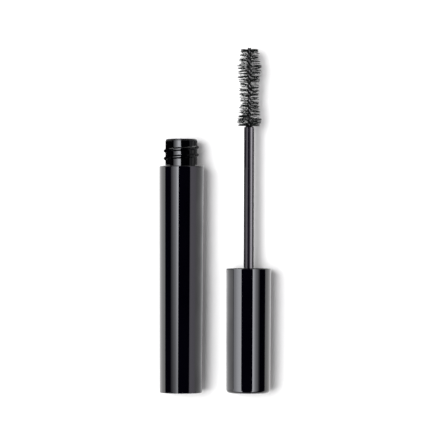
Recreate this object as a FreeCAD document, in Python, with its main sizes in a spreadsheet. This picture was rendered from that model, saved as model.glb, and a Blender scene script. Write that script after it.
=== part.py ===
import FreeCAD, Part

import math
import os

import Sketcher

# A mascara tube and its applicator, lying side by side on a table, with the applicator taken out.
# Millimetres. +Y runs along the tube from its base to its neck, +X from the tube to the applicator
# and +Z up from the table. The origin is the centre of the tube's base.

SIZES = {
    # the tube's outside
    "sleeve_length": 83.8,
    "sleeve_base_radius": 7.9,
    "sleeve_top_radius": 8.3,
    "sleeve_wall": 0.9,
    "sleeve_edge_round": 0.25,
    "shoulder_thickness": 0.9,
    "shoulder_hole_gap": 0.05,
    # the plug that closes the sleeve, and the label in it
    "plug_radius": 7.1,
    "plug_thickness": 0.9,
    "label_radius": 5.5,
    "label_thickness": 0.1,
    # the bottle, its neck and thread
    "bottle_gap": 0.1,
    "bottle_wall": 0.9,
    "bottle_floor_thickness": 0.7,
    "neck_radius": 5.9,
    "neck_rim_height": 93.1,
    "neck_bore_radius": 4.8,
    "neck_shoulder_slope": 1.6,
    "thread_crest_radius": 6.5,
    "thread_pitch": 2.8,
    "thread_foot_width": 1.15,
    "thread_crest_width": 0.45,
    "thread_front_height": 89.8,
    "thread_sunk": 0.25,
    # the wiper
    "wiper_top": 93.8,
    "wiper_flange_radius": 5.75,
    "wiper_edge_round": 0.45,
    "wiper_bore_radius": 4.2,
    "wiper_skirt_bottom": 84.5,
    "wiper_lip_height": 79.5,
    "wiper_lip_radius": 2.1,
    "wiper_lip_wall": 0.4,
    # the paste in the bottle
    "paste_top": 72.0,
    "paste_channel_radius": 4.7,
    "paste_floor_thickness": 0.7,
    "paste_gap": 0.02,
    # the cap
    "axis_spacing": 25.0,
    "closing_gap": 0.15,
    "cap_length": 46.0,
    "cap_end_radius": 8.15,
    "cap_mouth_radius": 8.3,
    "cap_wall": 0.8,
    "cap_end_thickness": 1.2,
    "cap_end_round": 1.3,
    "cap_mouth_round": 0.2,
    # the threaded liner inside the cap
    "liner_radius": 7.42,
    "liner_recess": 0.3,
    "liner_thread_radius": 6.65,
    "liner_thread_crest": 6.1,
    "liner_thread_first": 44.35,
    "liner_thread_last": 40.6,
    "liner_lead_in": 0.35,
    "liner_wall_outer": 35.45,
    "liner_wall_inner": 34.0,
    "liner_socket_end": 26.0,
    "liner_socket_radius": 3.2,
    "seal_thickness": 0.6,
    "seal_hole_radius": 2.6,
    "seal_gap": 0.05,
    "weight_radius": 7.2,
    "weight_length": 8.5,
    # the rod
    "rod_radius": 1.85,
    "rod_tip": 98.3,
    "rod_collar_radius": 2.4,
    "rod_collar_length": 0.6,
    "rod_tail_radius": 1.6,
    "rod_wire_bore_radius": 0.7,
    "rod_wire_bore_depth": 8.0,
    "rod_tip_round": 0.25,
    # the brush
    "strand_radius": 0.32,
    "strand_offset": 0.33,
    "strand_pitch": 3.6,
    "strand_end_gap": 0.02,
    "wire_tip": 127.35,
    "root_paste_inner": 0.72,
    "root_paste_outer": 1.2,
    "brush_start": 98.5,
    "brush_end": 127.0,
}

# The hourglass of the brush: how far along it, as a share of its length, and the radius there.
BRUSH_OUTLINE = (
    (0.0, 3.9),
    (0.08, 4.5),
    (0.2, 3.8),
    (0.3, 3.35),
    (0.5, 3.3),
    (0.6, 3.8),
    (0.74, 4.5),
    (0.78, 4.6),
    (0.85, 3.95),
    (0.92, 3.6),
    (1.0, 3.25),
)

# The neck's thread runs a turn and a half, measured from the front, and fades out past both ends.
NECK_THREAD_FIRST_DEGREES = -450
NECK_THREAD_LAST_DEGREES = 90
FADE_DEGREES = 50
SECTION_STEP_DEGREES = 15

doc = FreeCAD.newDocument("mascara_tube")


class Size:
    """A length with the sheet expression that it comes from, so that arithmetic keeps both."""

    def __init__(self, value, text):
        self.value = value
        self.text = text

    def combine(self, other, sign, value):
        return Size(value, f"({self.text} {sign} {as_size(other).text})")

    def __add__(self, other):
        return self.combine(other, "+", self.value + as_size(other).value)

    def __sub__(self, other):
        return self.combine(other, "-", self.value - as_size(other).value)

    def __mul__(self, other):
        return self.combine(other, "*", self.value * as_size(other).value)


def as_size(length):
    return length if isinstance(length, Size) else Size(length, repr(length))


def make_sheet():
    """The driving dimensions as plain numbers, each with its own alias."""
    sheet = doc.addObject("Spreadsheet::Sheet", "sizes")
    for row, (name, number) in enumerate(SIZES.items(), start=1):
        sheet.set(f"A{row}", name)
        sheet.set(f"B{row}", str(number))
        sheet.setAlias(f"B{row}", name)
    doc.recompute()
    return {name: Size(float(getattr(sheet, name)), f"sizes.{name}") for name in SIZES}


def origin_plane(body, role):
    return next(f for f in body.Origin.OriginFeatures if f.Role == role)


def bind_point(sketch, line, radius, height):
    """Hold the start of a line at a radius from the axis and a height along it."""
    if radius.value == 0:
        sketch.addConstraint(Sketcher.Constraint("PointOnObject", line, 1, -2))
    else:
        at = sketch.addConstraint(Sketcher.Constraint("DistanceX", -1, 1, line, 1, radius.value))
        sketch.setExpression(f"Constraints[{at}]", radius.text)
    if height.value == 0:
        sketch.addConstraint(Sketcher.Constraint("PointOnObject", line, 1, -1))
    else:
        at = sketch.addConstraint(Sketcher.Constraint("DistanceY", -1, 1, line, 1, height.value))
        sketch.setExpression(f"Constraints[{at}]", height.text)


def turned(label, outline):
    """A body turned about its own Y axis from a closed outline of (radius, height) corners."""
    body = doc.addObject("PartDesign::Body", label)
    body.Label = label
    sketch = body.newObject("Sketcher::SketchObject", label + "_outline")
    sketch.AttachmentSupport = [(origin_plane(body, "XY_Plane"), "")]
    sketch.MapMode = "FlatFace"
    corners = [(as_size(radius), as_size(height)) for radius, height in outline]
    places = [FreeCAD.Vector(radius.value, height.value, 0) for radius, height in corners]
    for start, end in zip(places, places[1:] + places[:1]):
        sketch.addGeometry(Part.LineSegment(start, end), False)
    for line in range(len(places)):
        sketch.addConstraint(
            Sketcher.Constraint("Coincident", line, 2, (line + 1) % len(places), 1)
        )
    for line, (radius, height) in enumerate(corners):
        bind_point(sketch, line, radius, height)
    turn = body.newObject("PartDesign::Revolution", label + "_turn")
    turn.Profile = sketch
    turn.ReferenceAxis = (sketch, ["V_Axis"])
    turn.Angle = 360
    body.Tip = turn
    doc.recompute()
    return body


def rounded(body, edge_round, *circles):
    """Round the body's circular edges at the given (radius, height) places."""
    base = body.Tip
    chosen = []
    for number, edge in enumerate(base.Shape.Edges, start=1):
        if not isinstance(edge.Curve, Part.Circle):
            continue
        for radius, height in circles:
            near_radius = abs(edge.Curve.Radius - as_size(radius).value) < 1e-3
            near_height = abs(edge.Curve.Center.y - as_size(height).value) < 1e-3
            if near_radius and near_height:
                chosen.append(f"Edge{number}")
    if len(chosen) < len(circles):
        raise RuntimeError(f"{body.Label}: an edge to round is missing")
    fillet = body.newObject("PartDesign::Fillet", f"{body.Name}_round_{len(body.Group)}")
    fillet.Base = (base, chosen)
    fillet.setExpression("Radius", edge_round.text)
    body.Tip = fillet
    doc.recompute()
    return body


def thread_ridge(name, foot, crest, first_angle, last_angle, height_at_zero):
    """A right-hand thread ridge about +Y whose height fades to nothing past both of its ends.

    Angles are from +Z towards +X, in degrees. The ridge is lofted through sections in radial planes.
    """
    pitch = size["thread_pitch"].value
    foot_half = size["thread_foot_width"].value / 2
    crest_half = size["thread_crest_width"].value / 2
    whole = last_angle - first_angle + 2 * FADE_DEGREES
    steps = round(whole / SECTION_STEP_DEGREES)
    sections = []
    for step in range(steps + 1):
        angle = first_angle - FADE_DEGREES + step * whole / steps
        past_end = max(first_angle - angle, angle - last_angle, 0) / FADE_DEGREES
        full = max(math.cos(past_end * math.pi / 2), 0.05)
        middle = height_at_zero + pitch * angle / 360
        outward = FreeCAD.Vector(math.sin(math.radians(angle)), 0, math.cos(math.radians(angle)))
        reach = foot + (crest - foot) * full
        corners = (
            (foot, -foot_half * full),
            (reach, -crest_half * full),
            (reach, crest_half * full),
            (foot, foot_half * full),
        )
        points = [outward * radius + FreeCAD.Vector(0, middle + along, 0) for radius, along in corners]
        sections.append(Part.makePolygon(points + points[:1]))
    ridge = doc.addObject("Part::Feature", name)
    ridge.Shape = Part.makeLoft(sections, True, False)
    return ridge


def joined(label, base, tool):
    whole = doc.addObject("Part::Fuse", label)
    whole.Label = label
    whole.Base = base
    whole.Tool = tool
    return whole


def on_applicator(piece):
    piece.setExpression(".Placement.Base.x", "sizes.axis_spacing")
    return piece


def sleeve_radius(height):
    """The sleeve's outside radius, which grows evenly from the base to the shoulder."""
    widening = size["sleeve_top_radius"].value - size["sleeve_base_radius"].value
    growth = widening / size["sleeve_length"].value
    return size["sleeve_base_radius"] + as_size(height) * growth


def make_tube():
    """The sleeve, the bottle with its threaded neck, the wiper, the base and the paste."""
    top = size["sleeve_length"]
    wall = size["sleeve_wall"]
    under_shoulder = top - size["shoulder_thickness"]
    hole = size["neck_radius"] + size["shoulder_hole_gap"]
    plug_seat = size["plug_thickness"]
    plug_hole = size["plug_radius"] + size["shoulder_hole_gap"]
    sleeve = turned(
        "outer_sleeve",
        (
            (plug_hole, 0),
            (size["sleeve_base_radius"], 0),
            (size["sleeve_top_radius"], top),
            (hole, top),
            (hole, under_shoulder),
            (sleeve_radius(under_shoulder) - wall, under_shoulder),
            (sleeve_radius(plug_seat) - wall, plug_seat),
            (plug_hole, plug_seat),
        ),
    )
    rounded(
        sleeve,
        size["sleeve_edge_round"],
        (size["sleeve_base_radius"], 0),
        (size["sleeve_top_radius"], top),
    )

    turned(
        "base_plug",
        (
            (0, size["label_thickness"]),
            (size["label_radius"], size["label_thickness"]),
            (size["label_radius"], 0),
            (size["plug_radius"], 0),
            (size["plug_radius"], size["plug_thickness"]),
            (0, size["plug_thickness"]),
        ),
    )
    turned(
        "shade_label",
        (
            (0, 0),
            (size["label_radius"], 0),
            (size["label_radius"], size["label_thickness"]),
            (0, size["label_thickness"]),
        ),
    )

    floor = size["plug_thickness"]
    floor_top = floor + size["bottle_floor_thickness"]
    skin = wall + size["bottle_gap"]
    inside = skin + size["bottle_wall"]
    bottle_shoulder = under_shoulder - size["neck_shoulder_slope"]
    rim = size["neck_rim_height"]
    blank = turned(
        "bottle_blank",
        (
            (0, floor),
            (sleeve_radius(floor) - skin, floor),
            (sleeve_radius(under_shoulder) - skin, under_shoulder),
            (size["neck_radius"], under_shoulder),
            (size["neck_radius"], rim),
            (size["neck_bore_radius"], rim),
            (size["neck_bore_radius"], under_shoulder - size["bottle_wall"]),
            (sleeve_radius(bottle_shoulder) - inside, bottle_shoulder - size["bottle_wall"]),
            (sleeve_radius(floor_top) - inside, floor_top),
            (0, floor_top),
        ),
    )
    ridge = thread_ridge(
        "neck_thread",
        size["neck_radius"].value - size["thread_sunk"].value,
        size["thread_crest_radius"].value,
        NECK_THREAD_FIRST_DEGREES,
        NECK_THREAD_LAST_DEGREES,
        size["thread_front_height"].value,
    )
    joined("inner_bottle", blank, ridge)

    lip = size["wiper_lip_radius"]
    wiper = turned(
        "wiper",
        (
            (lip, size["wiper_lip_height"]),
            (lip + size["wiper_lip_wall"], size["wiper_lip_height"]),
            (size["neck_bore_radius"], size["wiper_skirt_bottom"]),
            (size["neck_bore_radius"], rim),
            (size["wiper_flange_radius"], rim),
            (size["wiper_flange_radius"], size["wiper_top"]),
            (size["wiper_bore_radius"], size["wiper_top"]),
            (size["wiper_bore_radius"], size["wiper_skirt_bottom"]),
            (lip, size["wiper_lip_height"] + size["wiper_lip_wall"]),
        ),
    )
    rounded(
        wiper,
        size["wiper_edge_round"],
        (size["wiper_flange_radius"], size["wiper_top"]),
        (size["wiper_bore_radius"], size["wiper_top"]),
    )

    paste_skin = inside + size["paste_gap"]
    turned(
        "mascara_formula",
        (
            (0, floor_top + size["paste_gap"]),
            (sleeve_radius(floor_top) - paste_skin, floor_top + size["paste_gap"]),
            (sleeve_radius(size["paste_top"]) - paste_skin, size["paste_top"]),
            (size["paste_channel_radius"], size["paste_top"]),
            (size["paste_channel_radius"], floor_top + size["paste_floor_thickness"]),
            (0, floor_top + size["paste_floor_thickness"]),
        ),
    )


def make_cap():
    """The cap, its threaded liner, the ring that seals on the neck and the weight."""
    length = size["cap_length"]
    end = size["cap_end_thickness"]
    cap = turned(
        "outer_cap",
        (
            (0, 0),
            (size["cap_end_radius"], 0),
            (size["cap_mouth_radius"], length),
            (size["cap_mouth_radius"] - size["cap_wall"], length),
            (size["cap_end_radius"] - size["cap_wall"], end),
            (0, end),
        ),
    )
    rounded(cap, size["cap_end_round"], (size["cap_end_radius"], 0))
    rounded(
        cap,
        size["cap_mouth_round"],
        (size["cap_mouth_radius"], length),
        (size["cap_mouth_radius"] - size["cap_wall"], length),
    )

    mouth = length - size["liner_recess"]
    bore = size["liner_thread_radius"]
    blank = turned(
        "liner_blank",
        (
            (size["rod_tail_radius"], size["liner_socket_end"]),
            (size["liner_socket_radius"], size["liner_socket_end"]),
            (size["liner_socket_radius"], size["liner_wall_inner"]),
            (size["liner_radius"], size["liner_wall_inner"]),
            (size["liner_radius"], mouth),
            (bore + size["liner_lead_in"], mouth),
            (bore, mouth - size["liner_lead_in"]),
            (bore, size["liner_wall_outer"]),
            (size["rod_tail_radius"], size["liner_wall_outer"]),
        ),
    )
    # Closed, the cap is turned end for end, so a point at height y on the applicator sits at
    # sleeve_length + closing_gap + cap_length - y. The same sum turns the neck thread's height at
    # the front into this ridge's, which then runs in the middle of the neck thread's groove.
    pitch = size["thread_pitch"].value
    shut = size["sleeve_length"].value + size["closing_gap"].value + length.value
    middle = shut - size["thread_front_height"].value
    first = 360 * (size["liner_thread_last"].value - middle) / pitch
    last = 360 * (size["liner_thread_first"].value - middle) / pitch
    ridge = thread_ridge(
        "liner_thread",
        bore.value + size["thread_sunk"].value,
        size["liner_thread_crest"].value,
        first,
        last,
        middle,
    )
    on_applicator(joined("inner_cap", blank, ridge))

    seal_face = size["liner_wall_outer"]
    seal = turned(
        "cap_seal",
        (
            (size["seal_hole_radius"], seal_face + size["seal_gap"]),
            (bore - size["seal_gap"], seal_face + size["seal_gap"]),
            (bore - size["seal_gap"], seal_face + size["seal_gap"] + size["seal_thickness"]),
            (size["seal_hole_radius"], seal_face + size["seal_gap"] + size["seal_thickness"]),
        ),
    )
    weight = turned(
        "cap_weight",
        (
            (0, end),
            (size["weight_radius"], end),
            (size["weight_radius"], end + size["weight_length"]),
            (0, end + size["weight_length"]),
        ),
    )
    for piece in (cap, seal, weight):
        on_applicator(piece)


def make_rod():
    """The rod, with a tail in the liner's socket, a collar on its wall and a bore for the wire."""
    tip = size["rod_tip"]
    seat = size["liner_wall_outer"]
    collar_top = seat + size["rod_collar_length"]
    bore_end = tip - size["rod_wire_bore_depth"]
    rod = turned(
        "wand_rod",
        (
            (0, size["liner_socket_end"]),
            (size["rod_tail_radius"], size["liner_socket_end"]),
            (size["rod_tail_radius"], seat),
            (size["rod_collar_radius"], seat),
            (size["rod_collar_radius"], collar_top),
            (size["rod_radius"], collar_top),
            (size["rod_radius"], tip),
            (size["rod_wire_bore_radius"], tip),
            (size["rod_wire_bore_radius"], bore_end),
            (0, bore_end),
        ),
    )
    rounded(rod, size["rod_tip_round"], (size["rod_radius"], tip))
    on_applicator(rod)


def make_strand(label, start_angle):
    """One of the two wires, wound left-handed round the brush's axis from the rod to the tip."""
    bore_end = size["rod_tip"].value - size["rod_wire_bore_depth"].value
    start = bore_end + size["strand_end_gap"].value
    offset = size["strand_offset"].value
    coil = Part.makeHelix(
        size["strand_pitch"].value,
        size["wire_tip"].value - start,
        offset,
        0,
        True,
    )
    pitch_slope = -2 * math.pi * offset / size["strand_pitch"].value
    along = FreeCAD.Vector(0, pitch_slope, 1)
    ring = Part.makeCircle(size["strand_radius"].value, FreeCAD.Vector(offset, 0, 0), along)
    wire = Part.Wire(coil.Edges).makePipeShell([Part.Wire([ring])], True, True)
    wire.rotate(FreeCAD.Vector(0, 0, 0), FreeCAD.Vector(0, 0, 1), start_angle)
    wire.rotate(FreeCAD.Vector(0, 0, 0), FreeCAD.Vector(1, 0, 0), -90)
    wire.translate(FreeCAD.Vector(0, start, 0))
    strand = doc.addObject("Part::Feature", label)
    strand.Label = label
    strand.Shape = wire
    return on_applicator(strand)


def make_brush():
    """The twisted wire, the paste held at the fibres' roots and the fibres' hourglass envelope."""
    make_strand("wire_strand_a", 0)
    make_strand("wire_strand_b", 180)
    start = size["brush_start"]
    end = size["brush_end"]
    root = size["root_paste_outer"]
    paste = turned(
        "formula_on_brush",
        (
            (size["root_paste_inner"], start),
            (root, start),
            (root, end),
            (size["root_paste_inner"], end),
        ),
    )
    inner = root + size["paste_gap"]
    outline = [(as_size(radius), start + (end - start) * share) for share, radius in BRUSH_OUTLINE]
    bristles = turned("bristles", [(inner, start), *outline, (inner, end)])
    for piece in (paste, bristles):
        on_applicator(piece)


NODES = (
    "outer_sleeve",
    "inner_bottle",
    "wiper",
    "base_plug",
    "shade_label",
    "mascara_formula",
    "outer_cap",
    "inner_cap",
    "cap_seal",
    "cap_weight",
    "wand_rod",
    "wire_strand_a",
    "wire_strand_b",
    "formula_on_brush",
    "bristles",
)

size = make_sheet()
make_tube()
make_cap()
make_rod()
make_brush()
doc.recompute()

for item in doc.Objects:
    if {"Invalid", "Error"} & set(item.State):
        raise RuntimeError(f"{item.Label} failed: {item.State}")
os.makedirs("parts", exist_ok=True)
for node in NODES:
    shape = doc.getObjectsByLabel(node)[0].Shape
    if shape.isNull() or not shape.isValid() or len(shape.Solids) != 1:
        raise RuntimeError(f"{node} isn't one valid solid")
    shape.exportStep(f"parts/{node}.step")
    print(f"{node}: {shape.Volume:.2f} mm3")
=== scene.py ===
import math
import random

import bmesh
import bpy
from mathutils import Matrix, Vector


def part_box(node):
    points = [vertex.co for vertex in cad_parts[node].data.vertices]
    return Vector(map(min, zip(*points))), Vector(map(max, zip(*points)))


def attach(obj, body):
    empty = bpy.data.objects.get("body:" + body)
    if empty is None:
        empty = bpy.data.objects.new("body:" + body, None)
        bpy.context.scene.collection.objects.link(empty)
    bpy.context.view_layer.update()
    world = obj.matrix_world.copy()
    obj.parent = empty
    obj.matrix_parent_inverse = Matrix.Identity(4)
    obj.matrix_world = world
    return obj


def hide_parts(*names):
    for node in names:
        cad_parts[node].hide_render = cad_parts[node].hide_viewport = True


# The looks of a mascara tube and its applicator, lying side by side on a white table.
# Lengths in the outlines below are millimetres; MM turns them into Blender's metres.

MM = 0.001

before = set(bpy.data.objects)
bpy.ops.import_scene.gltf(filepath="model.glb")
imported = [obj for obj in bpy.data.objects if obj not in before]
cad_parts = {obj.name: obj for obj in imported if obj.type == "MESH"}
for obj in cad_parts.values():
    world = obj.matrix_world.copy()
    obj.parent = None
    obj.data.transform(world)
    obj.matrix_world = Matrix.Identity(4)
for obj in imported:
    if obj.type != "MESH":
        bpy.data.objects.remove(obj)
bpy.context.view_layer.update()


# ---------------------------------------------------------------- places, from the frame

def box_mm(node):
    low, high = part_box(node)
    return low / MM, high / MM


SLEEVE_LOW, SLEEVE_HIGH = box_mm("outer_sleeve")
CAP_LOW, CAP_HIGH = box_mm("outer_cap")
BRUSH_LOW, BRUSH_HIGH = box_mm("bristles")
WIPER_LOW, WIPER_HIGH = box_mm("wiper")
ROD_LOW, ROD_HIGH = box_mm("wand_rod")
WIRE_LOW, WIRE_HIGH = box_mm("wire_strand_a")
LINER_LOW, LINER_HIGH = box_mm("inner_cap")
PASTE_TOP = box_mm("mascara_formula")[1].y

FLOOR_Z = min(SLEEVE_LOW.z, CAP_LOW.z)
SLEEVE_TOP = SLEEVE_HIGH.y
SLEEVE_TOP_R = (SLEEVE_HIGH.x - SLEEVE_LOW.x) / 2
SLEEVE_BASE_R = SLEEVE_TOP_R - 0.4
APPLICATOR_X = (CAP_LOW.x + CAP_HIGH.x) / 2
CAP_TOP = CAP_HIGH.y
CAP_MOUTH_R = (CAP_HIGH.x - CAP_LOW.x) / 2
CAP_END_R = CAP_MOUTH_R - 0.15
ROD_TIP = ROD_HIGH.y
ROD_R = 1.85
ROD_ROOT_R = 1.6
NECK_R = 5.9
NECK_BORE_R = 4.8
WIPER_TOP = WIPER_HIGH.y
RIM = 93.1
LINER_FLOOR = 35.45
CLOSED_GAP = 0.15

# The sleeve's wall, and how far inside its surface the bottle's outside and inside are.
SLEEVE_WALL = 0.9
BOTTLE_INSET = 1.0
BOTTLE_BORE_INSET = 1.9
BOTTLE_FLOOR = 1.6

# A thread ridge's half-widths at its foot and crest, and the degrees over which each end fades.
THREAD_PITCH = 2.8
THREAD_FOOT_HALF = 0.7
THREAD_CREST_HALF = 0.1
THREAD_FADE = 70
NECK_THREAD_MIDDLE = 90.0

STRAND_R = 0.32
STRAND_OFFSET = 0.33
STRAND_PITCH = 3.6


# ---------------------------------------------------------------- mesh helpers

def smooth_step(x):
    x = min(max(x, 0.0), 1.0)
    return x * x * (3 - 2 * x)


def arc(centre_r, centre_y, radius, start, end, steps=6):
    """Points of an arc in an outline, from one angle to the other in degrees."""
    points = []
    for i in range(steps + 1):
        angle = math.radians(start + (end - start) * i / steps)
        points.append((centre_r + radius * math.cos(angle), centre_y + radius * math.sin(angle)))
    return points


def rows(start, end, step):
    """Evenly spaced heights from start to end, both included, at about the given step."""
    count = max(1, round(abs(end - start) / step))
    return [start + (end - start) * i / count for i in range(count + 1)]


def add_object(name, data):
    obj = bpy.data.objects.new(name, data)
    bpy.context.scene.collection.objects.link(obj)
    return obj


def make_object(name, vertices, faces, sharp_degrees=35):
    mesh = bpy.data.meshes.new(name)
    mesh.from_pydata(vertices, [], faces)
    tidy = bmesh.new()
    tidy.from_mesh(mesh)
    bmesh.ops.remove_doubles(tidy, verts=tidy.verts, dist=1e-7)
    bmesh.ops.recalc_face_normals(tidy, faces=tidy.faces)
    tidy.to_mesh(mesh)
    tidy.free()
    mesh.shade_smooth()
    mesh.set_sharp_from_angle(angle=math.radians(sharp_degrees))
    return add_object(name, mesh)


def lathe(name, outline, centre_x=0.0, segments=192, relief=None):
    """A closed outline of (radius, y) turned about Y. relief(angle, radius, y) adds to the radius."""
    vertices = []
    for radius, y in outline:
        for s in range(segments):
            angle = 2 * math.pi * s / segments
            reach = radius + (relief(angle, radius, y) if relief else 0.0)
            vertices.append(
                Vector((centre_x + reach * math.sin(angle), y, reach * math.cos(angle))) * MM
            )
    faces = []
    count = len(outline)
    for i in range(count):
        j = (i + 1) % count
        if outline[i][0] == 0 and outline[j][0] == 0:
            continue
        for s in range(segments):
            t = (s + 1) % segments
            faces.append((i * segments + s, i * segments + t, j * segments + t, j * segments + s))
    return make_object(name, vertices, faces)


def thread_relief(middle, first, last, depth, wall_radius):
    """How far a thread ridge stands out of a wall, as a relief for lathe. Angles in degrees."""

    def relief(angle, radius, y):
        if abs(radius - wall_radius) > 0.02:
            return 0.0
        degrees = math.degrees(angle)
        best = 0.0
        turn = math.floor((first - THREAD_FADE - degrees) / 360)
        while degrees + 360 * turn <= last + THREAD_FADE:
            along = degrees + 360 * turn
            turn += 1
            past = max(first - along, along - last, 0) / THREAD_FADE
            if past >= 1:
                continue
            full = math.cos(past * math.pi / 2)
            away = abs(y - middle - THREAD_PITCH * along / 360)
            width = 0.35 + 0.65 * full
            foot = THREAD_FOOT_HALF * width
            crest = THREAD_CREST_HALF * width
            up_the_flank = min(max((foot - away) / (foot - crest), 0), 1)
            best = max(best, full * math.sin(math.pi / 2 * up_the_flank))
        return depth * best

    return relief


# ---------------------------------------------------------------- materials

def new_material(name):
    material = bpy.data.materials.new(name)
    material.use_nodes = True
    tree = material.node_tree
    shader = tree.nodes["Principled BSDF"]
    return material, tree, shader


def noise(tree, scale, detail=3.0, stretch=(1, 1, 1)):
    """A noise texture in the object's own coordinates, in cycles per metre."""
    where = tree.nodes.new("ShaderNodeTexCoord")
    mapping = tree.nodes.new("ShaderNodeMapping")
    mapping.inputs["Scale"].default_value = stretch
    texture = tree.nodes.new("ShaderNodeTexNoise")
    texture.inputs["Scale"].default_value = scale
    texture.inputs["Detail"].default_value = detail
    tree.links.new(where.outputs["Object"], mapping.inputs["Vector"])
    tree.links.new(mapping.outputs["Vector"], texture.inputs["Vector"])
    return texture.outputs["Fac"]


def spread(tree, value, low, high):
    """Map a noise value, which is mostly from 0.3 to 0.7, to the range low to high."""
    node = tree.nodes.new("ShaderNodeMapRange")
    node.inputs["From Min"].default_value = 0.3
    node.inputs["From Max"].default_value = 0.7
    node.inputs["To Min"].default_value = low
    node.inputs["To Max"].default_value = high
    tree.links.new(value, node.inputs["Value"])
    return node.outputs["Result"]


def two_colours(tree, value, first, second):
    """Mix two colours by a noise value, with a soft step between them."""
    ramp = tree.nodes.new("ShaderNodeValToRGB")
    ramp.color_ramp.elements[0].position = 0.35
    ramp.color_ramp.elements[0].color = (*first, 1)
    ramp.color_ramp.elements[1].position = 0.65
    ramp.color_ramp.elements[1].color = (*second, 1)
    tree.links.new(value, ramp.inputs["Fac"])
    return ramp.outputs["Color"]


def bump(tree, shader, value, strength, distance):
    node = tree.nodes.new("ShaderNodeBump")
    node.inputs["Strength"].default_value = strength
    node.inputs["Distance"].default_value = distance
    tree.links.new(value, node.inputs["Height"])
    tree.links.new(node.outputs["Normal"], shader.inputs["Normal"])


def times(tree, first, second):
    """The product of two outputs, or of an output and a number."""
    node = tree.nodes.new("ShaderNodeMath")
    node.operation = "MULTIPLY"
    tree.links.new(first, node.inputs[0])
    if isinstance(second, float):
        node.inputs[1].default_value = second
    else:
        tree.links.new(second, node.inputs[1])
    return node.outputs[0]


# The height of the finest surface ripple, in metres, and its cycles per metre.
RIPPLE_HEIGHT = 0.00002
RIPPLE_SCALE = 900


def plastic(name, dark, light, rough_low, rough_high, grain, peel, ior=1.5):
    """Moulded plastic: uneven colour and gloss, and a faint surface ripple."""
    material, tree, shader = new_material(name)
    shader.inputs["IOR"].default_value = ior
    colour = two_colours(tree, noise(tree, grain, 5.0), dark, light)
    tree.links.new(colour, shader.inputs["Base Color"])
    gloss = spread(tree, noise(tree, grain * 2.3, 4.0), rough_low, rough_high)
    tree.links.new(gloss, shader.inputs["Roughness"])
    bump(tree, shader, noise(tree, RIPPLE_SCALE, 2.0), peel, RIPPLE_HEIGHT)
    return material


def metal(name, dark, light, rough_low, rough_high, scale, stretch):
    """Bare metal with fine drawn or turned marks along one direction."""
    material, tree, shader = new_material(name)
    shader.inputs["Metallic"].default_value = 1.0
    marks = noise(tree, scale, 6.0, stretch)
    tree.links.new(two_colours(tree, marks, dark, light), shader.inputs["Base Color"])
    tree.links.new(spread(tree, marks, rough_low, rough_high), shader.inputs["Roughness"])
    bump(tree, shader, marks, 0.25, RIPPLE_HEIGHT)
    return material


LACQUER = plastic("black_lacquer", (0.0002, 0.0001, 0.0011), (0.0005, 0.0004, 0.0016), 0.02, 0.06, 60, 0.03)
NECK_BLACK = plastic("black_neck", (0.0002, 0.0002, 0.0005), (0.0005, 0.0005, 0.0009), 0.02, 0.05, 90, 0.04)
ROD_BLACK = plastic("black_rod", (0.003, 0.0024, 0.0045), (0.0065, 0.005, 0.009), 0.06, 0.12, 90, 0.05)
WIPER_BLACK = plastic("wiper_plastic", (0.0015, 0.0015, 0.002), (0.003, 0.003, 0.0035), 0.1, 0.2, 220, 0.15)
LINER_BLACK = plastic("liner_plastic", (0.012, 0.012, 0.013), (0.02, 0.02, 0.021), 0.25, 0.4, 180, 0.25)
BASE_BLACK = plastic("base_plastic", (0.014, 0.014, 0.015), (0.024, 0.024, 0.026), 0.32, 0.5, 400, 0.4)
LABEL_FILM = plastic("label_film", (0.52, 0.51, 0.49), (0.58, 0.57, 0.55), 0.45, 0.6, 700, 0.3)
SEAL_FOAM = plastic("seal_foam", (0.55, 0.54, 0.5), (0.75, 0.74, 0.7), 0.75, 0.95, 2500, 1.0)
FIBRE = plastic("fibre", (0.001, 0.0015, 0.0014), (0.014, 0.019, 0.017), 0.4, 0.6, 700, 0.3, 1.25)
PASTE = plastic("paste", (0.002, 0.002, 0.002), (0.006, 0.006, 0.006), 0.1, 0.4, 1200, 0.8)
STEEL = metal("turned_steel", (0.36, 0.36, 0.37), (0.55, 0.55, 0.55), 0.25, 0.4, 300, (0.2, 6, 0.2))
WIRE = metal("brush_wire", (0.012, 0.011, 0.012), (0.3, 0.29, 0.3), 0.2, 0.4, 1400, (1, 1, 1))


def dress(obj, material, body, slot, *nodes):
    """Give a piece its material and its body, and hide the CAD nodes it stands for. The slot is not used.
    """
    obj.data.materials.clear()
    obj.data.materials.append(material)
    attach(obj, body)
    if nodes:
        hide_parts(*nodes)
    return obj


def dress_node(name, material):
    """Give a piece that keeps its CAD mesh its material."""
    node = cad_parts[name]
    for slot in node.material_slots:
        slot.material = material
    if not node.material_slots:
        node.data.materials.append(material)


# ---------------------------------------------------------------- the tube

def sleeve_radius(y):
    return SLEEVE_BASE_R + (SLEEVE_TOP_R - SLEEVE_BASE_R) * y / SLEEVE_TOP


def make_sleeve():
    """The lacquered sleeve, with a round hole in its base and another in its shoulder."""
    edge = 0.28
    shoulder_edge = 0.5
    base_hole = 7.15
    shoulder_hole = NECK_R + 0.05
    inner_low = SLEEVE_WALL
    inner_top = SLEEVE_TOP - SLEEVE_WALL
    outline = [(base_hole, 0.0)]
    outline += arc(SLEEVE_BASE_R - edge, edge, edge, -90, 0)
    outline += [(sleeve_radius(y), y) for y in rows(2, SLEEVE_TOP - 1.5, 8)]
    outline += arc(SLEEVE_TOP_R - shoulder_edge, SLEEVE_TOP - shoulder_edge, shoulder_edge, 0, 90)
    outline += [(shoulder_hole, SLEEVE_TOP), (shoulder_hole, inner_top)]
    outline += [(sleeve_radius(y) - SLEEVE_WALL, y) for y in (inner_top, inner_low)]
    outline += [(base_hole, inner_low)]
    sleeve = lathe("sleeve", outline, segments=256)
    return dress(sleeve, LACQUER, "tube", "black_lacquer", "outer_sleeve")


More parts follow.
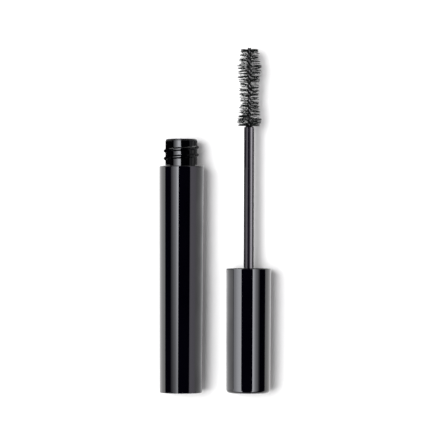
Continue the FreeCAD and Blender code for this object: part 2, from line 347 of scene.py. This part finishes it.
def make_bottle():
    """The bottle with its threaded neck, which stands out of the sleeve's shoulder."""
    base = SLEEVE_WALL
    foot = SLEEVE_TOP - SLEEVE_WALL
    lip = 0.12
    neck_wall = 0.9
    bore_widens = 80.0
    thread_first = -450
    thread_last = 90
    thread_depth = 0.62
    outline = [(0.0, base)]
    outline += [(sleeve_radius(y) - BOTTLE_INSET, y) for y in (base, foot)]
    outline += [(NECK_R, foot)]
    outline += [(NECK_R, y) for y in rows(SLEEVE_TOP - 0.2, RIM - lip - 0.1, 0.1)]
    outline += arc(NECK_R - lip, RIM - lip, lip, 0, 90, 3)
    outline += [(NECK_BORE_R, RIM), (NECK_BORE_R, foot - neck_wall)]
    outline += [(sleeve_radius(bore_widens) - BOTTLE_BORE_INSET, bore_widens + 0.4)]
    outline += [(sleeve_radius(BOTTLE_FLOOR) - BOTTLE_BORE_INSET, BOTTLE_FLOOR), (0.0, BOTTLE_FLOOR)]
    relief = thread_relief(NECK_THREAD_MIDDLE, thread_first, thread_last, thread_depth, NECK_R)
    bottle = lathe("bottle", outline, segments=256, relief=relief)
    return dress(bottle, NECK_BLACK, "tube", "black_neck", "inner_bottle")


def make_wiper():
    """The wiper: a rounded flange on the rim, a bore, and a funnel down to the scraping lip."""
    outer = 5.75
    outer_round = 0.5
    bore = 4.2
    bore_round = 0.45
    funnel_top = 84.5
    lip_r = 2.1
    lip_y = WIPER_LOW.y
    outline = [(lip_r, lip_y), (lip_r + 0.4, lip_y), (NECK_BORE_R, funnel_top)]
    outline += [(NECK_BORE_R, RIM), (outer, RIM)]
    outline += arc(outer - outer_round, WIPER_TOP - outer_round, outer_round, 0, 90, 8)
    outline += arc(bore + bore_round, WIPER_TOP - bore_round, bore_round, 90, 180, 8)
    outline += [(bore, y) for y in rows(WIPER_TOP - 1, funnel_top + 0.5, 2)]
    outline += [(bore, funnel_top), (lip_r + 0.5, 80.8), (lip_r, lip_y + 0.5)]
    wiper = lathe("wiper_insert", outline, segments=192)
    return dress(wiper, WIPER_BLACK, "tube", "wiper_plastic", "wiper")


# The brush sweeps this channel in the paste.
CHANNEL_R = 4.95


def make_formula():
    """The paste in the bottle: clinging to its wall, with the channel that the brush leaves."""
    draw = random.Random(5)
    waves = 6
    wave_height = 0.03
    phases = [draw.uniform(0, 2 * math.pi) for _ in range(waves)]

    def ripple(angle, radius, y):
        if abs(radius - CHANNEL_R) > 0.01:
            return 0.0
        wave = sum(math.sin((k + 1) * angle + phases[k] + y * (0.35 + 0.12 * k)) for k in range(waves))
        return -wave_height * wave

    gap = 0.05
    inset = BOTTLE_BORE_INSET + gap
    foot = BOTTLE_FLOOR + gap
    outline = [(0.0, foot), (sleeve_radius(BOTTLE_FLOOR) - inset, foot)]
    outline += [(sleeve_radius(40) - inset, 40.0), (sleeve_radius(72) - inset, PASTE_TOP - 0.8)]
    outline += [(CHANNEL_R + 0.6, PASTE_TOP - 0.3), (CHANNEL_R + 0.25, PASTE_TOP)]
    outline += [(CHANNEL_R, y) for y in rows(PASTE_TOP - 0.4, 3.0, 1.5)]
    outline += [(CHANNEL_R - 0.5, 2.4), (0.0, 2.35)]
    paste = lathe("formula_in_tube", outline, segments=96, relief=ripple)
    return dress(paste, PASTE, "tube", "paste", "mascara_formula")


# ---------------------------------------------------------------- the cap

def make_cap():
    """The lacquered cap: closed and rounded at its end, thin and round-edged at its mouth."""
    end_round = 1.3
    end_thickness = 1.2
    mouth_round = 0.22
    wall = 0.8
    end_ring = 3.0
    outline = [(0.0, 0.0), (end_ring, 0.0)]
    outline += arc(CAP_END_R - end_round, end_round, end_round, -90, 0, 12)
    outline += [
        (CAP_END_R + (CAP_MOUTH_R - CAP_END_R) * y / CAP_TOP, y) for y in rows(3, CAP_TOP - 1, 8)
    ]
    outline += arc(CAP_MOUTH_R - mouth_round, CAP_TOP - mouth_round, mouth_round, 0, 90)
    outline += arc(CAP_MOUTH_R - wall + mouth_round, CAP_TOP - mouth_round, mouth_round, 90, 180)
    outline += [(CAP_END_R - wall, end_thickness), (0.0, end_thickness)]
    cap = lathe("cap", outline, APPLICATOR_X, segments=256)
    return dress(cap, LACQUER, "applicator", "black_lacquer", "outer_cap")


def make_liner():
    """The threaded liner in the cap's mouth, with the socket that holds the rod."""
    bore = 6.65
    outer = 7.42
    mouth = LINER_HIGH.y
    mouth_round = 0.3
    socket_r = 3.2
    foot = 34.0
    thread_low = 40.6
    thread_high = 44.35
    thread_depth = 0.55
    outline = [(ROD_ROOT_R, LINER_LOW.y), (socket_r, LINER_LOW.y), (socket_r, foot)]
    outline += [(outer, foot), (outer, mouth)]
    outline += arc(bore + mouth_round, mouth - mouth_round, mouth_round, 90, 180, 5)
    outline += [(bore, y) for y in rows(mouth - 0.4, 36.0, 0.1)]
    outline += [(bore, LINER_FLOOR), (ROD_ROOT_R, LINER_FLOOR)]
    middle = SLEEVE_TOP + CLOSED_GAP + CAP_TOP - NECK_THREAD_MIDDLE
    first = 360 * (thread_low - middle) / THREAD_PITCH
    last = 360 * (thread_high - middle) / THREAD_PITCH
    relief = thread_relief(middle, first, last, -thread_depth, bore)
    liner = lathe("liner", outline, APPLICATOR_X, segments=224, relief=relief)
    return dress(liner, LINER_BLACK, "applicator", "liner_plastic", "inner_cap")


# ---------------------------------------------------------------- the rod and the brush

def make_rod():
    """The rod: a root in the liner's socket, a collar on its floor, and a hole for the wires."""
    seat = LINER_FLOOR
    collar_r = 2.4
    collar_top = seat + 0.6
    tip_round = 0.3
    hole_r = 0.7
    hole_foot = ROD_TIP - 8
    outline = [(0.0, ROD_LOW.y), (ROD_ROOT_R, ROD_LOW.y), (ROD_ROOT_R, seat)]
    outline += [(collar_r, seat), (collar_r, collar_top), (ROD_R, collar_top)]
    outline += [(ROD_R, y) for y in rows(seat + 1, ROD_TIP - 1, 8)]
    outline += arc(ROD_R - tip_round, ROD_TIP - tip_round, tip_round, 0, 90)
    outline += [(hole_r + 0.05, ROD_TIP), (hole_r, ROD_TIP - 0.3), (hole_r, hole_foot), (0.0, hole_foot)]
    rod = lathe("rod", outline, APPLICATOR_X, segments=96)
    return dress(rod, ROD_BLACK, "applicator", "black_neck", "wand_rod")


def twist(y):
    """The angle of the first wire at a height, from +Z towards +X: a left-handed twist."""
    return -2 * math.pi * (y - WIRE_LOW.y) / STRAND_PITCH


def on_axis(radius, angle, y):
    """A point at a radius and angle about the applicator's axis, in millimetres."""
    return Vector((APPLICATOR_X + radius * math.sin(angle), y, radius * math.cos(angle)))


def tube_along(path, radii, sides, vertices, faces):
    """Add a closed tube that follows a path, with one radius for each of its points."""
    base = len(vertices)
    side = None
    for i, point in enumerate(path):
        ahead = path[min(i + 1, len(path) - 1)] - path[max(i - 1, 0)]
        ahead.normalize()
        if side is None:
            side = ahead.orthogonal().normalized()
        side = (side - ahead * side.dot(ahead)).normalized()
        other = ahead.cross(side)
        for s in range(sides):
            angle = 2 * math.pi * s / sides
            offset = side * math.cos(angle) + other * math.sin(angle)
            vertices.append((point + offset * radii[i]) * MM)
    for i in range(len(path) - 1):
        for s in range(sides):
            t = (s + 1) % sides
            a = base + i * sides
            b = a + sides
            faces.append((a + s, a + t, b + t, b + s))
    faces.append(tuple(base + s for s in reversed(range(sides))))
    faces.append(tuple(base + (len(path) - 1) * sides + s for s in range(sides)))


def make_wires():
    """The two wires, twisted together."""
    wires = []
    for name, node, half_turn in (("wire_a", "wire_strand_a", 0), ("wire_b", "wire_strand_b", math.pi)):
        path = [
            on_axis(STRAND_OFFSET, twist(y) + half_turn, y)
            for y in rows(WIRE_LOW.y + 0.1, WIRE_HIGH.y - 0.1, 0.12)
        ]
        vertices, faces = [], []
        tube_along(path, [STRAND_R] * len(path), 14, vertices, faces)
        wire = make_object(name, vertices, faces, 60)
        wires.append(dress(wire, WIRE, "applicator", "wire", node))
    return wires


# Half-widths of the brush at shares of its length, from its foot to its tip.
BRUSH_RADII = (
    (0.0, 4.0),
    (0.09, 4.6),
    (0.16, 4.0),
    (0.22, 3.8),
    (0.30, 3.6),
    (0.46, 3.6),
    (0.53, 3.75),
    (0.66, 4.2),
    (0.74, 4.55),
    (0.78, 4.75),
    (0.83, 4.1),
    (0.91, 3.65),
    (1.0, 3.3),
)


def brush_radius(y):
    """The brush's half-width at a height."""
    share = (y - BRUSH_LOW.y) / (BRUSH_HIGH.y - BRUSH_LOW.y)
    for (a, ra), (b, rb) in zip(BRUSH_RADII, BRUSH_RADII[1:]):
        if share <= b:
            return ra + (rb - ra) * smooth_step((share - a) / (b - a))
    return BRUSH_RADII[-1][1]


# Tufts and single fibres on each side of the wires, for each turn of their twist.
TUFTS_PER_TURN = 17
LOOSE_PER_TURN = 46
FIBRE_R = 0.037
FIBRE_ROOT_R = 0.25
LONGEST_FIBRE = 4.62
END_ROW_TUFTS = 30
FOOT_ROW_TUFTS = 24
# The fibres nearest the rod lean away from it by up to this much.
FOOT_LIFT = 0.6


def add_fibre(draw, y, angle, tip_y, tip_angle, reach, thick, vertices, faces):
    """One fibre from the wires' middle to its tip, slightly bowed and thickest near its tip."""
    bow = draw.gauss(0, 0.12)
    reach = min(reach, LONGEST_FIBRE)
    path = []
    for share in (0.0, 0.2, 0.45, 0.7, 0.88, 1.0):
        lean = share * (1.6 - 0.6 * share)
        turn = angle + (tip_angle - angle) * lean + bow * share * (1 - share)
        along = y + (tip_y - y) * lean + bow * share * (1 - share) * 2
        path.append(on_axis(FIBRE_ROOT_R + (reach - FIBRE_ROOT_R) * share, turn, along))
    radii = [thick * swell for swell in (0.8, 0.85, 0.95, 1.1, 1.2, 0.85)]
    tube_along(path, radii, 5, vertices, faces)


def add_tuft(draw, y, angle, tip_y, tip_angle, reach, vertices, faces):
    """A few fibres that the paste holds together along their length, with a blunt end."""
    spread_y = draw.uniform(0.04, 0.17)
    for _ in range(draw.randint(3, 8)):
        own_y = min(tip_y + draw.gauss(0, spread_y), BRUSH_HIGH.y - 0.06)
        own_angle = tip_angle + draw.gauss(0, 0.05)
        own_reach = reach * draw.uniform(0.93, 1.02)
        thick = FIBRE_R * draw.uniform(0.9, 1.5)
        add_fibre(draw, y, angle, own_y, own_angle, own_reach, thick, vertices, faces)


def make_bristles():
    """Fibres pinched between the two wires, fanned round by the twist and clumped by the paste."""
    draw = random.Random(11)
    vertices, faces = [], []
    span = BRUSH_HIGH.y - BRUSH_LOW.y
    for per_turn, is_tuft in ((TUFTS_PER_TURN, True), (LOOSE_PER_TURN, False)):
        total = round(per_turn * span / STRAND_PITCH)
        for side in (0, math.pi):
            for i in range(total):
                y = BRUSH_LOW.y + 0.1 + (span - 0.5) * (i + draw.uniform(0, 1)) / total
                angle = twist(y) + math.pi / 2 + side + draw.gauss(0, 0.1)
                lift = FOOT_LIFT * (1 - smooth_step((y - BRUSH_LOW.y) / 2.5))
                tip_y = min(y + draw.gauss(0, 0.5) + lift, BRUSH_HIGH.y - 0.1)
                tip_angle = angle + draw.gauss(0, 0.55)
                reach = brush_radius(tip_y) * min(draw.gauss(0.99, 0.06), 1.08)
                if is_tuft:
                    add_tuft(draw, y, angle, tip_y, tip_angle, reach, vertices, faces)
                else:
                    thick = FIBRE_R * draw.uniform(0.8, 1.2)
                    add_fibre(draw, y, angle, tip_y, tip_angle, reach, thick, vertices, faces)
    # Two rows fan all the way round: the last is trimmed flat, and the first leans off the rod.
    for tufts, start, depth, rise in (
        (END_ROW_TUFTS, BRUSH_HIGH.y - 0.8, 0.65, 0.2),
        (FOOT_ROW_TUFTS, ROD_TIP + 0.08, 0.25, 1.7),
    ):
        for i in range(tufts):
            angle = 2 * math.pi * (i + draw.uniform(-0.4, 0.4)) / tufts
            y = start + draw.uniform(0, depth)
            tip_y = min(y + draw.uniform(0, rise), BRUSH_HIGH.y - 0.06)
            reach = brush_radius(tip_y) * draw.uniform(0.92, 1.02)
            add_tuft(draw, y, angle, tip_y, angle + draw.gauss(0, 0.12), reach, vertices, faces)
    bristles = make_object("bristle_fibres", vertices, faces, 80)
    return dress(bristles, FIBRE, "applicator", "fibre", "bristles")


def make_brush_paste():
    """Paste along the wires: a twisted web at the roots of the fibres, and a collar at the rod."""
    draw = random.Random(23)
    steps = 420
    sides = 20
    vertices, faces = [], []
    foot = ROD_TIP + 0.02
    end = BRUSH_HIGH.y - 0.15
    collar_r = 1.2
    collar_height = 0.8
    for i in range(steps + 1):
        y = foot + (end - foot) * i / steps
        collar = collar_r * (1 - smooth_step((y - foot) / collar_height))
        if i % 12 == 0:
            web = draw.uniform(0.65, 1.3)
        fan = twist(y) + math.pi / 2
        taper = min(1, (i + 1) / 8, (steps - i + 1) / 8)
        for s in range(sides):
            around = 2 * math.pi * s / sides
            wide = (web * taper + collar) * math.cos(around)
            thin = ((0.46 + 0.06 * math.sin(5 * y)) * taper + collar) * math.sin(around)
            angle = fan + math.atan2(thin, wide)
            vertices.append(on_axis(math.hypot(wide, thin), angle, y) * MM)
    for i in range(steps):
        for s in range(sides):
            t = (s + 1) % sides
            a = i * sides
            b = a + sides
            faces.append((a + s, a + t, b + t, b + s))
    faces.append(tuple(reversed(range(sides))))
    faces.append(tuple(steps * sides + s for s in range(sides)))
    paste = make_object("paste_on_wire", vertices, faces, 80)
    return dress(paste, PASTE, "applicator", "paste", "formula_on_brush")


# ---------------------------------------------------------------- table, lights and camera

# The camera looks straight down. Its lens is in millimetres and its roll in degrees.
CAMERA_X = 12.5
CAMERA_Y = 65.7
CAMERA_HEIGHT = 1258.0
CAMERA_LENS = 285.0
CAMERA_ROLL = 0.2

# The lights' own sizes and distances are in metres.
SOFTBOX_DISTANCE = 0.5
SOFTBOX_LENGTH = 1.6
NECK_SOFTBOX_LENGTH = 0.5
FLOOR_STRIP_LENGTH = 0.5

# The heights (y) on a softbox whose reflections are seen at the tube's base and at its shoulder.
SEEN_AT_BASE = -26.0
SEEN_AT_SHOULDER = 91.0

COOL_WHITE = (0.965, 0.98, 1.04)
VIOLET_WHITE = (0.99, 0.935, 1.08)
ROSE_WHITE = (1.01, 0.965, 1.05)


def make_floor():
    """The white table, large enough to fill every view."""
    size = 3.0
    mesh = bpy.data.meshes.new("table")
    z = FLOOR_Z * MM
    corners = [(-size, -size, z), (size, -size, z), (size, size, z), (-size, size, z)]
    mesh.from_pydata(corners, [], [(0, 1, 2, 3)])
    floor = add_object("table", mesh)
    material, tree, shader = new_material("white_paper")
    colour = two_colours(tree, noise(tree, 40, 4.0), (0.86, 0.86, 0.865), (0.88, 0.88, 0.88))
    tree.links.new(colour, shader.inputs["Base Color"])
    shader.inputs["Roughness"].default_value = 0.9
    shader.inputs["Specular IOR Level"].default_value = 0.1
    bump(tree, shader, noise(tree, 3000, 3.0), 0.05, 0.00003)
    mesh.materials.append(material)


def make_world():
    """White for the camera, a soft fill for matt surfaces and near-black for reflections."""
    world = bpy.data.worlds.new("studio")
    bpy.context.scene.world = world
    world.use_nodes = True
    tree = world.node_tree
    out = tree.nodes["World Output"]
    path = tree.nodes.new("ShaderNodeLightPath")
    seen = tree.nodes["Background"]
    seen.inputs["Color"].default_value = (1, 1, 1, 1)
    seen.inputs["Strength"].default_value = 1.0
    fill = tree.nodes.new("ShaderNodeBackground")
    fill.inputs["Color"].default_value = (1, 0.985, 0.995, 1)
    fill.inputs["Strength"].default_value = 0.45
    mirrored = tree.nodes.new("ShaderNodeBackground")
    mirrored.inputs["Color"].default_value = (0.9, 0.92, 1, 1)
    mirrored.inputs["Strength"].default_value = 0.005
    by_gloss = tree.nodes.new("ShaderNodeMixShader")
    by_camera = tree.nodes.new("ShaderNodeMixShader")
    tree.links.new(path.outputs["Is Glossy Ray"], by_gloss.inputs[0])
    tree.links.new(fill.outputs[0], by_gloss.inputs[1])
    tree.links.new(mirrored.outputs[0], by_gloss.inputs[2])
    tree.links.new(path.outputs["Is Camera Ray"], by_camera.inputs[0])
    tree.links.new(by_gloss.outputs[0], by_camera.inputs[1])
    tree.links.new(seen.outputs[0], by_camera.inputs[2])
    tree.links.new(by_camera.outputs[0], out.inputs["Surface"])


def key_light(direction, spread_degrees, strength):
    """A broad, even key light: it shades the matt surfaces and stays out of the gloss."""
    light = bpy.data.lights.new("key", "SUN")
    light.angle = math.radians(spread_degrees)
    light.energy = strength
    obj = add_object("key", light)
    obj.rotation_euler = (-Vector(direction)).to_track_quat("-Z", "Y").to_euler()
    obj.visible_camera = False
    obj.visible_glossy = False


def show_only_in_gloss(obj, receivers):
    """Keep a light out of sight and off matt surfaces, and shine it on the given pieces alone."""
    obj.visible_camera = False
    obj.visible_diffuse = False
    seen_by = bpy.data.collections.new(obj.name + "_receivers")
    for piece in receivers:
        seen_by.objects.link(piece)
    obj.light_linking.receiver_collection = seen_by


def rectangle_light(name, width, length, brightness, receivers):
    """A rectangle that has the given brightness all over, wherever it is seen from."""
    light = bpy.data.lights.new(name, "AREA")
    light.shape = "RECTANGLE"
    light.size = width
    light.size_y = length
    light.energy = width * length * math.pi * brightness
    obj = add_object(name, light)
    show_only_in_gloss(obj, receivers)
    return obj


def floor_glow(name, near_x, far_x, brightness, receivers):
    """Extra brightness on a strip of the floor beside a piece, seen only in that piece's gloss."""
    width = abs(far_x - near_x) * MM
    obj = rectangle_light(name, width, FLOOR_STRIP_LENGTH, brightness, receivers)
    obj.location = Vector(((near_x + far_x) / 2, CAMERA_Y, FLOOR_Z + 0.2)) * MM
    obj.rotation_euler = (math.pi, 0, 0)


def softbox(name, axis_x, stops, receivers, tint=COOL_WHITE, length=SOFTBOX_LENGTH, dim_foot=1.0):
    """A studio softbox that only the given pieces' gloss shows, graded across its width.

    stops are (degrees from straight up, brightness) pairs about the pieces' axis, left to right.
    dim_foot is the brightness beside the tube's base as a share of that beside the shoulder.
    """
    middle = (stops[0][0] + stops[-1][0]) / 2
    half = math.tan(math.radians(stops[-1][0] - middle))
    brightest = max(brightness for _, brightness in stops)
    obj = rectangle_light(name, 2 * half * SOFTBOX_DISTANCE, length, 1.0, receivers)
    turn = math.radians(middle)
    obj.location = (
        axis_x * MM + SOFTBOX_DISTANCE * math.sin(turn),
        CAMERA_Y * MM,
        SOFTBOX_DISTANCE * math.cos(turn),
    )
    obj.rotation_euler = (0, turn, 0)
    obj.data.use_nodes = True
    tree = obj.data.node_tree
    emission = tree.nodes["Emission"]
    emission.inputs["Color"].default_value = (*tint, 1)
    place = tree.nodes.new("ShaderNodeNewGeometry")
    split = tree.nodes.new("ShaderNodeSeparateXYZ")
    tree.links.new(place.outputs["Parametric"], split.inputs[0])
    ramp = tree.nodes.new("ShaderNodeValToRGB")
    tree.links.new(split.outputs["X"], ramp.inputs["Fac"])
    elements = ramp.color_ramp.elements
    for i, (angle, brightness) in enumerate(stops):
        if i >= 2:
            elements.new(1.0)
        elements[i].position = 0.5 + math.tan(math.radians(angle - middle)) / (2 * half)
        grey = brightness / brightest
        elements[i].color = (grey, grey, grey, 1)
    along = tree.nodes.new("ShaderNodeMapRange")
    along.inputs["From Min"].default_value = 0.5 + (SEEN_AT_BASE - CAMERA_Y) * MM / length
    along.inputs["From Max"].default_value = 0.5 + (SEEN_AT_SHOULDER - CAMERA_Y) * MM / length
    along.inputs["To Min"].default_value = dim_foot
    tree.links.new(split.outputs["Y"], along.inputs["Value"])
    across = times(tree, ramp.outputs["Color"], float(brightest))
    strength = times(tree, across, along.outputs["Result"])
    tree.links.new(strength, emission.inputs["Strength"])


# Painted shadow: each card's glow is dimmed towards its foot, as if it stood in the piece's own shadow.
CARD_PAINTED_SHADE_TOP = 0.62
CARD_PAINTED_SHADE_FOOT = 0.12
# How far most cards stand from their piece, and how low they reach.
CARD_GAP = 0.9
CARD_LOW = FLOOR_Z + 0.1


def card(name, x, low, high, brightness):
    # Painted reflection: the card glows with its own given brightness, from near black to bright, and is
    # not lit by any lamp.
    """A studio card beside a piece, grey or black, seen only in gloss: it hides the floor.

    low and high are its (y, z) corners.
    """
    mesh = bpy.data.meshes.new(name)
    corners = [(low[0], low[1]), (high[0], low[1]), (high[0], high[1]), (low[0], high[1])]
    mesh.from_pydata([Vector((x, y, z)) * MM for y, z in corners], [], [(0, 1, 2, 3)])
    obj = add_object(name, mesh)
    material, tree, shader = new_material(name + "_painted_glow")
    mottle = spread(tree, noise(tree, 80), brightness * 0.85, brightness * 1.15)
    place = tree.nodes.new("ShaderNodeTexCoord")
    split = tree.nodes.new("ShaderNodeSeparateXYZ")
    tree.links.new(place.outputs["Generated"], split.inputs[0])
    rise = tree.nodes.new("ShaderNodeMapRange")
    rise.inputs["From Max"].default_value = CARD_PAINTED_SHADE_TOP
    rise.inputs["To Min"].default_value = CARD_PAINTED_SHADE_FOOT
    tree.links.new(split.outputs["Z"], rise.inputs["Value"])
    shader.inputs["Base Color"].default_value = (0, 0, 0, 1)
    shader.inputs["Specular IOR Level"].default_value = 0.0
    shader.inputs["Emission Color"].default_value = (0.98, 0.98, 1, 1)
    # Painted shadow: the glow falls off towards the card's foot.
    glow = times(tree, mottle, rise.outputs["Result"])
    tree.links.new(glow, shader.inputs["Emission Strength"])
    mesh.materials.append(material)
    obj.visible_camera = False
    obj.visible_diffuse = False
    obj.visible_shadow = False
    obj.visible_transmission = False


def make_camera():
    """The main camera, above the pieces and looking straight down at them."""
    camera = bpy.data.cameras.new("camera")
    camera.sensor_width = 36.0
    camera.lens = CAMERA_LENS
    camera.clip_end = 20.0
    obj = add_object("camera", camera)
    obj.location = Vector((CAMERA_X, CAMERA_Y, CAMERA_HEIGHT)) * MM
    obj.rotation_euler = (0, 0, math.radians(CAMERA_ROLL))
    bpy.context.scene.camera = obj


make_camera()
make_floor()
make_world()
bpy.context.scene.view_settings.view_transform = "Standard"

sleeve = make_sleeve()
bottle = make_bottle()
wiper = make_wiper()
make_formula()
cap = make_cap()
liner = make_liner()
rod = make_rod()
wires = make_wires()
bristles = make_bristles()
make_brush_paste()

dress_node("base_plug", BASE_BLACK)
dress_node("shade_label", LABEL_FILM)
dress_node("cap_seal", SEAL_FOAM)
dress_node("cap_weight", STEEL)

key_light(direction=(-0.385, 0.04, 0.95), spread_degrees=34, strength=3.8)
softbox(
    "sleeve_left",
    0.0,
    [(-54, 0.6), (-45, 1.6), (-39.5, 2.5), (-34, 3.4), (-28.5, 4.3), (-23, 6.7), (-17.5, 10), (-13.5, 11)],
    [sleeve],
    dim_foot=0.5,
)
softbox(
    "sleeve_right",
    0.0,
    [(46.5, 1.3), (55, 1.7), (66, 1.55), (80, 1.35), (94, 1.15)],
    [sleeve],
    VIOLET_WHITE,
)
neck_pieces = [bottle, wiper]
softbox(
    "neck_left",
    0.0,
    [(-57, 1.1), (-52, 1.4), (-45, 2.1), (-37, 3.6), (-29, 5.8), (-22, 9.0), (-14, 9.8), (-4, 9.0)],
    neck_pieces,
    length=NECK_SOFTBOX_LENGTH,
)
softbox(
    "neck_right",
    0.0,
    [(62, 0.4), (76, 0.32), (92, 0.25)],
    neck_pieces,
    length=NECK_SOFTBOX_LENGTH,
)
cap_pieces = [cap, liner]
softbox(
    "cap_left",
    APPLICATOR_X,
    [(-100, 1.9), (-85, 2.5), (-71, 4.1), (-59, 6.2), (-48, 7.6), (-37.5, 7.7)],
    cap_pieces,
)
softbox(
    "cap_right",
    APPLICATOR_X,
    [(21, 9.8), (25.5, 7.8), (30.5, 5.6), (35.5, 3.9), (41, 2.7), (48.5, 1.9), (53, 0.7), (59, 0.25)],
    cap_pieces,
)
softbox(
    "rod_left",
    APPLICATOR_X,
    [(-86, 0.1), (-70, 0.45), (-58, 1.7), (-46, 3.4), (-36, 2.0), (-30, 0.3)],
    [rod],
    ROSE_WHITE,
)
softbox(
    "rod_right",
    APPLICATOR_X,
    [(6, 0.1), (18, 0.6), (29, 1.4), (40, 4.8), (51, 9.0), (64, 8.0), (78, 4.8), (89, 2.0)],
    [rod],
    ROSE_WHITE,
)
softbox("wire_glint", APPLICATOR_X, [(-12, 1.0), (0, 5.0), (25, 5.0), (38, 1.0)], wires)
softbox(
    "brush_top",
    APPLICATOR_X,
    [(-50, 0.2), (-12, 0.6), (5, 1.8), (30, 1.8), (60, 0.3)],
    [bristles],
)

# Cards seen only in the pieces' gloss: near-black or glowing sheets that paint the reflections beside the
# neck, the sleeve, the cap and the rod.
neck_card_x = NECK_R + CARD_GAP
neck_card_foot = (SLEEVE_TOP + 0.4, CARD_LOW)
card("neck_card_left", -neck_card_x, neck_card_foot, (WIPER_TOP, 5.5), 0.01)
card("neck_card_right", neck_card_x, neck_card_foot, (WIPER_TOP, 3.6), 0.22)
floor_glow("sleeve_floor", near_x=-9.5, far_x=-450, brightness=1.3, receivers=[sleeve])
floor_glow("cap_floor", near_x=APPLICATOR_X + 9.5, far_x=450, brightness=0.6, receivers=cap_pieces)
card("sleeve_card_right", SLEEVE_TOP_R + CARD_GAP, (0.3, CARD_LOW), (SLEEVE_TOP - 0.3, 6.5), 1.25)
cap_card_x = APPLICATOR_X - CAP_MOUTH_R - CARD_GAP
card("cap_card_left", cap_card_x, (0.6, CARD_LOW), (CAP_TOP - 0.3, 6.1), 1.75)
card("cap_card_far", APPLICATOR_X + 30, (-60, 3.1), (CAP_TOP + 60, 6.5), 0.05)
rod_card_gap = ROD_R + 0.4
rod_card_foot = (CAP_TOP + 0.5, -5.0)
card("rod_card_left", APPLICATOR_X - rod_card_gap, rod_card_foot, (ROD_TIP - 0.5, 1.1), 0.06)
card("rod_card_right", APPLICATOR_X + rod_card_gap, rod_card_foot, (ROD_TIP - 0.5, 1.0), 0.4)
